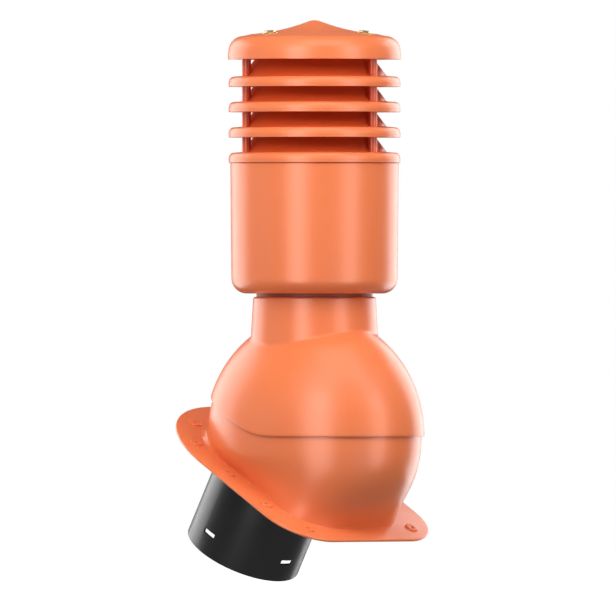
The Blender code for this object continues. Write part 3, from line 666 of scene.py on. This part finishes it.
def dome_rings():
    """All rings of the neck and dome, in order round the wall."""
    collar_bore, bore = INNER_PIPE_RADIUS + TOUCH, NECK_TOP - NECK_WALL
    rings = [level_ring(collar_bore, NECK_HEIGHT - COLLAR), level_ring(collar_bore, NECK_HEIGHT - SOFT),
             level_ring(collar_bore + SOFT, NECK_HEIGHT)]
    for turn in quarter(NECK_STEPS):
        rings.append(level_ring(NECK_TOP - NECK_EDGE * (1 - sin(turn)),
                                NECK_HEIGHT - NECK_EDGE * (1 - cos(turn))))
    meets = {t: dome_point(t, polar_at_reach(t, NECK_FOOT, 0.0), 0.0) for t in TURNS}
    starts = {t: polar_at_reach(t, NECK_FOOT + NECK_FILLET, 0.0) for t in TURNS}
    rings += [neck_ring(meets, share) for share in SIDE_SHARES]
    rings += [fillet_ring(meets, starts, step / NECK_STEPS) for step in range(NECK_STEPS + 1)]
    ends = {t: polar_at_rim(t, 0.0, LIP) for t in TURNS}
    rings += dome_bands(starts, ends, OUTER_STEPS, 0.0)[1:]
    for turn in quarter(LIP_STEPS)[1:]:
        inset, lift = LIP * (1 - cos(turn)), LIP * (1 - sin(turn))
        rings.append([BALL + dome_point(t, polar_at_rim(t, inset, lift), inset) for t in TURNS])
    inner_ends = {t: polar_at_rim(t, DOME_WALL) for t in TURNS}
    inner_starts = {t: polar_at_reach(t, NECK_FOOT - NECK_WALL, DOME_WALL) for t in TURNS}
    rings += dome_bands(inner_ends, inner_starts, UNDER_STEPS, DOME_WALL)
    return rings + [level_ring(bore, NECK_HEIGHT - COLLAR - (bore - collar_bore))]


dome = as_object("ball_dome_and_neck", lofted(dome_rings()), ORANGE)
mount_piece(dome, "head", "orange_plastic", "ball_dome_neck")

# %% [markdown]
# ## Inner pipe and housing
# Both are turned. Only a dark red line of the inner pipe shows, in the gap under the housing, and it closes
# the view into the neck.
# Its reddish brown colour is painted shade for that gap. The housing is a deep cup with a large
# radius at its foot and a slight draft, which lets such a part slip out of its mould.

# %% Build the inner pipe and the housing
HOUSING_TOP, HOUSING_FOOT, HOUSING_CORNER, HOUSING_WALL = 0.1067, 0.1052, 0.0195, 0.0030
pipe_low, pipe_high = (corner[2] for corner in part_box("inner_pipe"))
# The inner pipe's colour is painted shade.
inner_pipe = as_object("inner_pipe_tube", turned(rounded([
    (INNER_PIPE_BORE, pipe_low, CRISP), (INNER_PIPE_RADIUS, pipe_low, SOFT),
    (INNER_PIPE_RADIUS, pipe_high, SOFT), (INNER_PIPE_BORE, pipe_high, CRISP)], 3)), INNER_PIPE_PAINTED_SHADE)
mount_piece(inner_pipe, "head", "dark_pipe", "inner_pipe")

low, high = (corner[2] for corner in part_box("housing"))
housing = as_object("housing_casing", turned(rounded([
    (INNER_PIPE_RADIUS + TOUCH, low, SOFT), (HOUSING_FOOT, low, HOUSING_CORNER),
    (HOUSING_TOP, high, FINE), (HOUSING_TOP - HOUSING_WALL, high, FINE),
    (HOUSING_FOOT - HOUSING_WALL, low + HOUSING_WALL, HOUSING_CORNER - HOUSING_WALL),
    (INNER_PIPE_RADIUS + TOUCH, low + HOUSING_WALL, SOFT)], 10)), ORANGE)
mount_piece(housing, "head", "orange_plastic", "housing")

# %% [markdown]
# ## Louvre rings
# A louvre ring keeps rain out and lets air out. Its skirt hangs over the gap below, and its cone
# leads upwards, so that a drop that blows in runs out again. The lowest band of the skirt turns
# very slightly inwards, which parts its light from the rest. The four rings are the same turned
# outline at four heights. Three posts stand on each and carry what is above it. The posts
# run up to the underside of the next piece, and their foot is sunk into the plate.

# %% Build the rings and their posts
RING_RADIUS, RING_FLARE, RING_SKIRT, RING_WALL, SHOULDER = 0.1090, 0.0016, 0.0124, 0.0028, 0.0065
BAND, BAND_TAPER, BAND_BEND, CAP_BAND = 0.0050, 0.0003, 0.0016, 0.0060
CONE_FOOT, CONE_TOP, CONE_RISE, PLATE_RISE = 0.0915, 0.0755, 0.0215, 0.0012
CONE_BEND, INNER_CONE_BEND, INNER_SHOULDER, LIP_EDGE = 0.0012, 0.0020, 0.0030, 0.0007
POSTS, POST_RADIUS, POST_CIRCLE, POST_TURN, POST_SIDES = 3, 0.0058, 0.0930, radians(7.2), 28


def ring_outline(foot):
    """Outline of one ring over its lower edge, with an even wall."""
    top, wall = foot + RING_SKIRT, RING_WALL
    slant = hypot(CONE_FOOT - CONE_TOP, CONE_RISE)
    across, down = wall * CONE_RISE / slant, wall * (CONE_FOOT - CONE_TOP) / slant
    crest = top + PLATE_RISE + CONE_RISE
    return rounded([
        (RING_RADIUS - BAND_TAPER, foot, FINE), (RING_RADIUS, foot + BAND, BAND_BEND),
        (RING_RADIUS - RING_FLARE, top, SHOULDER),
        (CONE_FOOT, top + PLATE_RISE, CONE_BEND), (CONE_TOP, crest, SOFT),
        (CONE_TOP - across, crest - down, SOFT),
        (CONE_FOOT - across, top + PLATE_RISE - wall, INNER_CONE_BEND),
        (RING_RADIUS - wall - RING_FLARE, top - wall, INNER_SHOULDER),
        (RING_RADIUS - wall, foot, LIP_EDGE)], 6)


def post_work(low, high, turn):
    """A round spacer post between two heights."""
    work = bmesh.new()
    ring = bmesh.ops.create_circle(work, cap_ends=True, segments=POST_SIDES, radius=POST_RADIUS)["verts"]
    for vert in ring:
        vert.co.z = low
    raised = bmesh.ops.extrude_face_region(work, geom=list(work.faces), use_keep_orig=True)["geom"]
    bmesh.ops.translate(work, verts=[item for item in raised if isinstance(item, bmesh.types.BMVert)],
                        vec=(0, 0, high - low))
    bmesh.ops.translate(work, verts=work.verts,
                        vec=(BALL.x + POST_CIRCLE * cos(turn), POST_CIRCLE * sin(turn), 0.0))
    bmesh.ops.recalc_face_normals(work, faces=work.faces)
    return work


for node in ("housing_top_ring", "louvre_ring_3", "louvre_ring_2", "louvre_ring_1"):
    ring_low, ring_high = (corner[2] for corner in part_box(node))
    work = turned(ring_outline(ring_low))
    for number in range(POSTS):
        add_work(work, post_work(ring_low + RING_SKIRT - RING_WALL / 2, ring_high,
                                 POST_TURN + 2 * pi * number / POSTS))
    # The rings take the louvre plastic, with painted shade behind their lips.
    ring = as_object(node + "_moulding", work, LOUVRE_PAINTED_SHADE)
    mount_piece(ring, "head", "orange_plastic", node)

# %% [markdown]
# ## Rain cap
# The cap has a short skirt, a broad round shoulder and a cone that sweeps up to a blunt tip, a
# little like a pagoda roof. The sweep is a row of points on a curve, so the tip stays smooth. Inside
# the cap the wall follows the same curve. The screws sit in shallow round pans: three Booleans add
# the wall under the pans, sink the pans and drill the holes, and their result is kept as the mesh.

# %% Outline of the cap
cap_low, cap_high = (corner[2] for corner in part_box("rain_cap"))
CAP_RADIUS, CAP_FLARE, CAP_WALL, CAP_SHOULDER, CAP_SHOULDER_HEIGHT = 0.1100, 0.0008, 0.0028, 0.0195, 0.0296
CAP_BREAK, CAP_BREAK_HEIGHT, CAP_TIP, CAP_SAG, CAP_ROUND = 0.0800, 0.0320, 0.0040, 0.0031, 0.0060
CAP_FLAT = CAP_RADIUS - CAP_FLARE - CAP_SHOULDER
CAP_HEIGHT = cap_high - cap_low
SHOULDER_STEPS, SWEEP_STEPS, TIP_STEPS, STRAIGHT_POINTS = 12, 30, 5, 3
WALL_AT_TIP, WALL_EASE = 1.15, 0.2


def cone_height(radius):
    """Height of the cap's cone over its lower edge; it sags a little between break and tip."""
    share = (CAP_BREAK - radius) / (CAP_BREAK - CAP_TIP)
    straight = CAP_BREAK_HEIGHT + (CAP_HEIGHT - CAP_BREAK_HEIGHT) * share
    return straight - CAP_SAG * share * (1 - share) * 4


def cap_top(radius):
    """Height of the cap's upper side over its lower edge, with a small round tip."""
    if radius > CAP_BREAK:
        share = (radius - CAP_BREAK) / (CAP_FLAT - CAP_BREAK)
        return CAP_BREAK_HEIGHT + (CAP_SHOULDER_HEIGHT - CAP_BREAK_HEIGHT) * share
    if radius > CAP_ROUND:
        return cone_height(radius)
    return cone_height(CAP_ROUND) + (CAP_HEIGHT - cone_height(CAP_ROUND)) * (1 - (radius / CAP_ROUND) ** 2)


def cap_outline():
    """Outline of the cap from its rim to its tip, and of its inner side.

    The first points make the straight skirt, whose inner side needs only one point of its own."""
    outside = [(CAP_RADIUS - BAND_TAPER, cap_low), (CAP_RADIUS, cap_low + CAP_BAND)]
    for turn in quarter(SHOULDER_STEPS):
        outside.append((CAP_FLAT + CAP_SHOULDER * cos(turn), cap_low + CAP_SHOULDER_HEIGHT - CAP_SHOULDER
                        + CAP_SHOULDER * sin(turn)))
    radii = [CAP_FLAT - (CAP_FLAT - CAP_ROUND) * step / SWEEP_STEPS for step in range(1, SWEEP_STEPS + 1)]
    radii += [CAP_ROUND * (1 - step / TIP_STEPS) for step in range(1, TIP_STEPS + 1)]
    outside += [(radius, cap_low + cap_top(radius)) for radius in radii]
    inside = [(CAP_RADIUS - CAP_WALL, cap_low)]
    for radius, height in outside[STRAIGHT_POINTS:]:
        share = min(1.0, radius / CAP_RADIUS)
        inside.append((radius * (1 - CAP_WALL / CAP_RADIUS),
                       height - CAP_WALL * (WALL_AT_TIP - WALL_EASE * share)))
    return outside, inside


cap_outside, cap_inside = cap_outline()
print("cap outline", len(cap_outside) + len(cap_inside), "points")

# %% Places of the screws
SCREWS, SCREW_CIRCLE, SCREW_TURN = 3, 0.0700, radians(21.0)
WASHER_RADIUS, WASHER_HEIGHT = 0.0110, 0.0014
PAN_GAP, PAN_DEPTH, PAN_WALL = 0.0010, 0.0020, 0.0012
PAN_RADIUS = WASHER_RADIUS + PAN_GAP


def screw_frames():
    """Frames of the cap screws, with the origin on the seat and Z square to the cone."""
    fall = cone_height(SCREW_CIRCLE - WASHER_RADIUS) - cone_height(SCREW_CIRCLE + WASHER_RADIUS)
    on_cone = Matrix.Translation((SCREW_CIRCLE, 0.0, cap_low + cone_height(SCREW_CIRCLE)))
    lean = Matrix.Rotation(atan2(fall, 2 * WASHER_RADIUS), 4, "Y")
    seat = on_cone @ lean @ Matrix.Translation((0.0, 0.0, -PAN_DEPTH))
    axis = Matrix.Translation((BALL.x, 0.0, 0.0))
    return [axis @ Matrix.Rotation(SCREW_TURN + 2 * pi * number / SCREWS, 4, "Z") @ seat
            for number in range(SCREWS)]


print("screws", len(screw_frames()))

# %% Build the cap with its screw pans
PAN_LOW, PAN_SUNK, PAN_CLEAR, PAN_SIDES = -0.0140, -0.0006, 0.012, 48
DRILL_RADIUS, DRILL_LOW, DRILL_HIGH, DRILL_SIDES = 0.0029, -0.024, 0.010, 24
CAP_SHARP = 32.0
cap = as_object("rain_cap_moulding", turned(cap_outside + cap_inside[::-1]), ORANGE, CAP_SHARP)


def cut(piece, cutter_work, operation="DIFFERENCE"):
    """Cut a piece with a bmesh and keep the result as its mesh."""
    cutter = as_object("cutter", cutter_work, ORANGE)
    modifier = piece.modifiers.new("cut", "BOOLEAN")
    modifier.operation = operation
    modifier.solver = "EXACT"
    modifier.object = cutter
    bpy.context.view_layer.update()
    shaped = bpy.data.meshes.new_from_object(piece.evaluated_get(bpy.context.evaluated_depsgraph_get()))
    piece.modifiers.clear()
    old, name = piece.data, piece.data.name
    piece.data = shaped
    bpy.data.meshes.remove(old)
    shaped.name = name
    cutter_mesh = cutter.data
    bpy.data.objects.remove(cutter)
    bpy.data.meshes.remove(cutter_mesh)


def discs(radius, low, high, sides=PAN_SIDES):
    """One round cutter at each screw, with its ends measured from the seat."""
    work = bmesh.new()
    for screw_frame in screw_frames():
        bmesh.ops.create_cone(work, cap_ends=True, segments=sides, radius1=radius, radius2=radius,
                              depth=high - low,
                              matrix=screw_frame @ Matrix.Translation((0.0, 0.0, (low + high) / 2)))
    return work


cut(cap, discs(PAN_RADIUS + PAN_WALL, PAN_LOW, PAN_SUNK), "UNION")
cut(cap, discs(PAN_RADIUS, 0.0, PAN_CLEAR))
cut(cap, discs(DRILL_RADIUS, DRILL_LOW, DRILL_HIGH, DRILL_SIDES))
cap.data.set_sharp_from_angle(angle=radians(CAP_SHARP))
mount_piece(cap, "head", "orange_plastic", "rain_cap")

# %% [markdown]
# ## Cap screws
# Each screw has a low hexagon head on a wide flange, over a bonded washer. The head is a hexagonal
# prism with a chamfered crown, and the flange, the washer and the shank are turned. The screws lean
# with the cone, because their pans are sunk square to it.

# %% Build the screws
FLANGE_RIM, FLANGE_HEIGHT, HEX_RADIUS, HEX_CHAMFER, HEX_SUNK = 0.0096, 0.0012, 0.0080, 0.0007, 0.0004
STACK, SHANK, SCREW_LENGTH, SCREW_SHARP = 0.0048, 0.0026, 0.018, 30.0
WASHER_EDGE, WASHER_DRAFT, RIM_RISE, RIM_DRAFT = 0.0004, 0.0003, 0.0006, 0.0002
HEX_FOOT, CREST_BAND = 0.95, 0.0001


def screw_outline():
    """Outline of the shank, the washer and the flange, over the seat."""
    foot, tip = TOUCH, TOUCH - SCREW_LENGTH
    top = foot + WASHER_HEIGHT
    flange_top = top + FLANGE_HEIGHT
    return rounded([(0.0, tip, 0.0), (SHANK, tip, CRISP), (SHANK, foot, 0.0),
                    (WASHER_RADIUS, foot, WASHER_EDGE), (WASHER_RADIUS - WASHER_DRAFT, top, FINE),
                    (FLANGE_RIM, top, 0.0), (FLANGE_RIM - RIM_DRAFT, top + RIM_RISE, RIM_DRAFT),
                    (HEX_RADIUS * HEX_FOOT, flange_top, WASHER_EDGE), (0.0, flange_top, 0.0)], 3)


def hexagon_head():
    """The hexagon head with its chamfered crown, sunk a little into the flange."""
    head = bmesh.new()
    sunk, crest = TOUCH + WASHER_HEIGHT + FLANGE_HEIGHT - HEX_SUNK, TOUCH + STACK
    bmesh.ops.create_cone(head, cap_ends=True, segments=6, radius1=HEX_RADIUS, radius2=HEX_RADIUS,
                          depth=crest - sunk)
    bmesh.ops.translate(head, verts=head.verts, vec=(0, 0, (sunk + crest) / 2))
    crown = [edge for edge in head.edges if all(vert.co.z > crest - CREST_BAND for vert in edge.verts)]
    bmesh.ops.bevel(head, geom=crown, offset=HEX_CHAMFER, offset_type="OFFSET", affect="EDGES", segments=2,
                    profile=0.5, material=-1)
    return head


for number, screw_frame in enumerate(screw_frames(), 1):
    work = turned(screw_outline(), SMALL_TURN_STEPS, 0.0)
    add_work(work, hexagon_head())
    bmesh.ops.recalc_face_normals(work, faces=work.faces)
    bmesh.ops.transform(work, matrix=screw_frame, verts=work.verts)
    screw = as_object("cap_screw_%d_detail" % number, work, ZINC, SCREW_SHARP)
    mount_piece(screw, "head", "yellow_zinc", "cap_screw_%d" % number)

# %% [markdown]
# ## Black pipe
# The pipe under the roof is turned about its own axis, which is square to the roof, and then laid
# into place. Four latch slots go right through near its lower rim, cut by two long bars. The
# corners of its rims are slightly rounded inside and outside, as on real pipe ends.

# %% Build the black pipe
PIPE_FOOT, PIPE_HEAD, BEAD_WIDTH, BEAD_HEIGHT = PLATE - 0.1312, PLATE + 0.022, 0.0045, 0.0030
SLOT_WIDTH, SLOT_HEIGHT, SLOT_OVER_RIM, SLOT_CORNER = 0.020, 0.006, 0.028, 0.0012
SLOT_BAR, PIPE_SHARP = PIPE_RADIUS * 3, 40.0
bead = PLATE + TOUCH
pipe_work = turned(rounded([
    (PIPE_RADIUS, PIPE_FOOT, SOFT), (PIPE_RADIUS, bead, 0.0), (PIPE_RADIUS + BEAD_WIDTH, bead, CRISP),
    (PIPE_RADIUS + BEAD_WIDTH, bead + BEAD_HEIGHT, SOFT), (PIPE_RADIUS, bead + BEAD_HEIGHT, SOFT),
    (PIPE_RADIUS, PIPE_HEAD, SOFT), (PIPE_BORE, PIPE_HEAD, FINE), (PIPE_BORE, PIPE_FOOT, FINE)], 4),
    axis_x=0.0)
PIPE_FRAME = ROOF @ Matrix.Translation((ROOF_BALL.x + PIPE_OFF_BALL, 0.0, 0.0))
bmesh.ops.transform(pipe_work, matrix=PIPE_FRAME, verts=pipe_work.verts)
black_pipe = as_object("connection_pipe_tube", pipe_work, BLACK)


def slot_bar(size):
    """A long bar with rounded corners that cuts two facing slots."""
    work = bmesh.new()
    bmesh.ops.create_cube(work, size=1.0, matrix=Matrix.Diagonal((*size, 1.0)))
    long_axis = 0 if size[0] > size[1] else 1
    rims = [edge for edge in work.edges
            if abs(edge.verts[0].co[long_axis] - edge.verts[1].co[long_axis]) > size[long_axis] / 2]
    bmesh.ops.bevel(work, geom=rims, offset=SLOT_CORNER, offset_type="OFFSET", affect="EDGES", segments=4,
                    profile=0.5, material=-1)
    bmesh.ops.transform(work, verts=work.verts,
                        matrix=PIPE_FRAME @ Matrix.Translation((0.0, 0.0, PIPE_FOOT + SLOT_OVER_RIM)))
    return work


cut(black_pipe, slot_bar((SLOT_BAR, SLOT_WIDTH, SLOT_HEIGHT)))
cut(black_pipe, slot_bar((SLOT_WIDTH, SLOT_BAR, SLOT_HEIGHT)))
black_pipe.data.set_sharp_from_angle(angle=radians(PIPE_SHARP))
mount_piece(black_pipe, "base", "black_pipe", "connection_pipe")

# %% [markdown]
# ## Floor, light and camera
# The photograph is a catalogue picture: white all round, the camera level with the middle of the
# chimney and very far away, so that all level edges are straight. The floor is only seen: it gives
# no light, no reflection and no shadow, so the chimney stays free of its white. Two tall strips
# in front show only in reflections and draw the pale bands down the housing. The two keys, the
# side light and the low light give only soft light. Two lights behind draw the bright outlines,
# and one above lights the cap.

# %% Floor
TABLE_GLOW, TABLE_GAP, TABLE_SIZE, TABLE_ROUGHNESS = 0.95, 0.045, 6.0, 0.6
floor_work = bmesh.new()
bmesh.ops.create_grid(floor_work, x_segments=1, y_segments=1, size=TABLE_SIZE)
bmesh.ops.translate(floor_work, verts=floor_work.verts, vec=(0.0, 0.0, cad_box[0][2] - TABLE_GAP))
FLOOR, floor_nodes, floor_links, floor_shader = new_material("pale_floor")
floor_shader.inputs["Roughness"].default_value = TABLE_ROUGHNESS
floor_shader.inputs["Emission Color"].default_value = (1.0, 1.0, 1.0, 1.0)
floor_shader.inputs["Emission Strength"].default_value = TABLE_GLOW
floor_place = floor_nodes.new("ShaderNodeTexCoord")
floor_noise = add_node(floor_nodes, "ShaderNodeTexNoise", Scale=3.0)
floor_ramp = colour_ramp(floor_nodes, (0.0, (0.90, 0.90, 0.90)), (1.0, (0.94, 0.94, 0.94)))
floor_links.new(floor_place.outputs["Object"], floor_noise.inputs["Vector"])
floor_links.new(floor_noise.outputs["Fac"], floor_ramp.inputs["Fac"])
floor_links.new(floor_ramp.outputs["Color"], floor_shader.inputs["Base Color"])
floor = as_object("pale_floor", floor_work, FLOOR)
floor.visible_diffuse = False
floor.visible_glossy = False
floor.visible_shadow = False
print("floor", TABLE_GAP, "under the chimney")

# %% Camera
scene = bpy.context.scene
FRAME_WIDTH, FRAME_PIXELS, LENS, SENSOR, CAMERA_TURN = 0.7805, 616, 1500.0, 36.0, 45.0
PIXEL = FRAME_WIDTH / FRAME_PIXELS
AXIS_PIXEL, BALL_PIXEL, MIDDLE_PIXEL = 314.5, 436.3, 308.0
right = Vector((cos(radians(CAMERA_TURN)), sin(radians(CAMERA_TURN)), 0.0))
toward = Vector((sin(radians(CAMERA_TURN)), -cos(radians(CAMERA_TURN)), 0.0))
target = (BALL + right * (MIDDLE_PIXEL - AXIS_PIXEL) * PIXEL
          + Vector((0.0, 0.0, (BALL_PIXEL - MIDDLE_PIXEL) * PIXEL)))
camera_data = bpy.data.cameras.new("catalogue_camera")
camera_data.lens = LENS
camera_data.sensor_width = SENSOR
camera_data.clip_end = 200.0
camera = bpy.data.objects.new("catalogue_camera", camera_data)
scene.collection.objects.link(camera)
camera.location = target + toward * (FRAME_WIDTH * LENS / SENSOR)
camera.rotation_euler = (radians(90.0), 0.0, radians(CAMERA_TURN))
scene.camera = camera
print("camera", round(FRAME_WIDTH * LENS / SENSOR, 2), "away")

# %% Lights
LIGHT_DISTANCE = 2.6


def soft_light(name, azimuth, elevation, width, height, power, diffuse=True, glossy=True):
    """A soft light at an azimuth counted from the camera's side, facing the chimney."""
    data = bpy.data.lights.new(name, "AREA")
    data.shape = "RECTANGLE"
    data.size, data.size_y = width, height
    data.energy = power
    made = bpy.data.objects.new(name, data)
    made.visible_diffuse = diffuse
    made.visible_glossy = glossy
    scene.collection.objects.link(made)
    turn, lift = radians(azimuth - CAMERA_TURN), radians(elevation)
    way = Vector((cos(turn) * cos(lift), sin(turn) * cos(lift), sin(lift)))
    made.location = target + way * LIGHT_DISTANCE
    made.rotation_euler = (-way).to_track_quat("-Z", "Y").to_euler()


soft_light("key_left", -25.0, 38.0, 1.6, 1.6, 45.0, glossy=False)
soft_light("key_right", 50.0, 38.0, 1.2, 1.5, 30.0, glossy=False)
soft_light("strip_left", -23.0, 0.0, 1.1, 3.4, 54.0, diffuse=False)
soft_light("strip_right", 50.0, 0.0, 1.0, 3.4, 40.0, diffuse=False)
soft_light("rim_left", -130.0, 5.0, 2.2, 3.0, 62.0)
soft_light("rim_right", 140.0, 5.0, 1.9, 3.0, 58.0)
soft_light("side_left", -76.0, 2.0, 1.6, 1.8, 20.0, glossy=False)
soft_light("low_front", 34.0, -20.0, 1.6, 1.2, 16.0, glossy=False)
soft_light("top", 15.0, 65.0, 2.0, 2.0, 20.0)

# %% [markdown]
# The room is white to the camera, but it lights the chimney only dimly, so that the lights above
# shape it. From below it gives a little more, as a white table does.

# %% White room
ROOM_LIGHT, TABLE_LIGHT, TABLE_FULL, TABLE_END = 0.13, 0.30, -0.90, -0.40
world = bpy.data.worlds.new("white_room")
scene.world = world
world.use_nodes = True
world_nodes, world_links = world.node_tree.nodes, world.node_tree.links
dim = world_nodes["Background"]
dim.inputs["Color"].default_value = (1.0, 1.0, 1.0, 1.0)
way = world_nodes.new("ShaderNodeTexCoord")
parts = world_nodes.new("ShaderNodeSeparateXYZ")
height = add_node(world_nodes, "ShaderNodeMapRange", From_Min=TABLE_FULL, From_Max=TABLE_END,
                  To_Min=TABLE_LIGHT, To_Max=ROOM_LIGHT)
white = add_node(world_nodes, "ShaderNodeBackground", Color=(1.0, 1.0, 1.0, 1.0), Strength=1.0)
sight = world_nodes.new("ShaderNodeLightPath")
mix = world_nodes.new("ShaderNodeMixShader")
world_links.new(way.outputs["Generated"], parts.inputs["Vector"])
world_links.new(parts.outputs["Z"], height.inputs["Value"])
world_links.new(height.outputs["Result"], dim.inputs["Strength"])
world_links.new(sight.outputs["Is Camera Ray"], mix.inputs["Fac"])
world_links.new(dim.outputs["Background"], mix.inputs[1])
world_links.new(white.outputs["Background"], mix.inputs[2])
world_links.new(mix.outputs["Shader"], world_nodes["World Output"].inputs["Surface"])
scene.view_settings.view_transform = "Standard"
scene.view_settings.look = "None"
print("world", world.name)
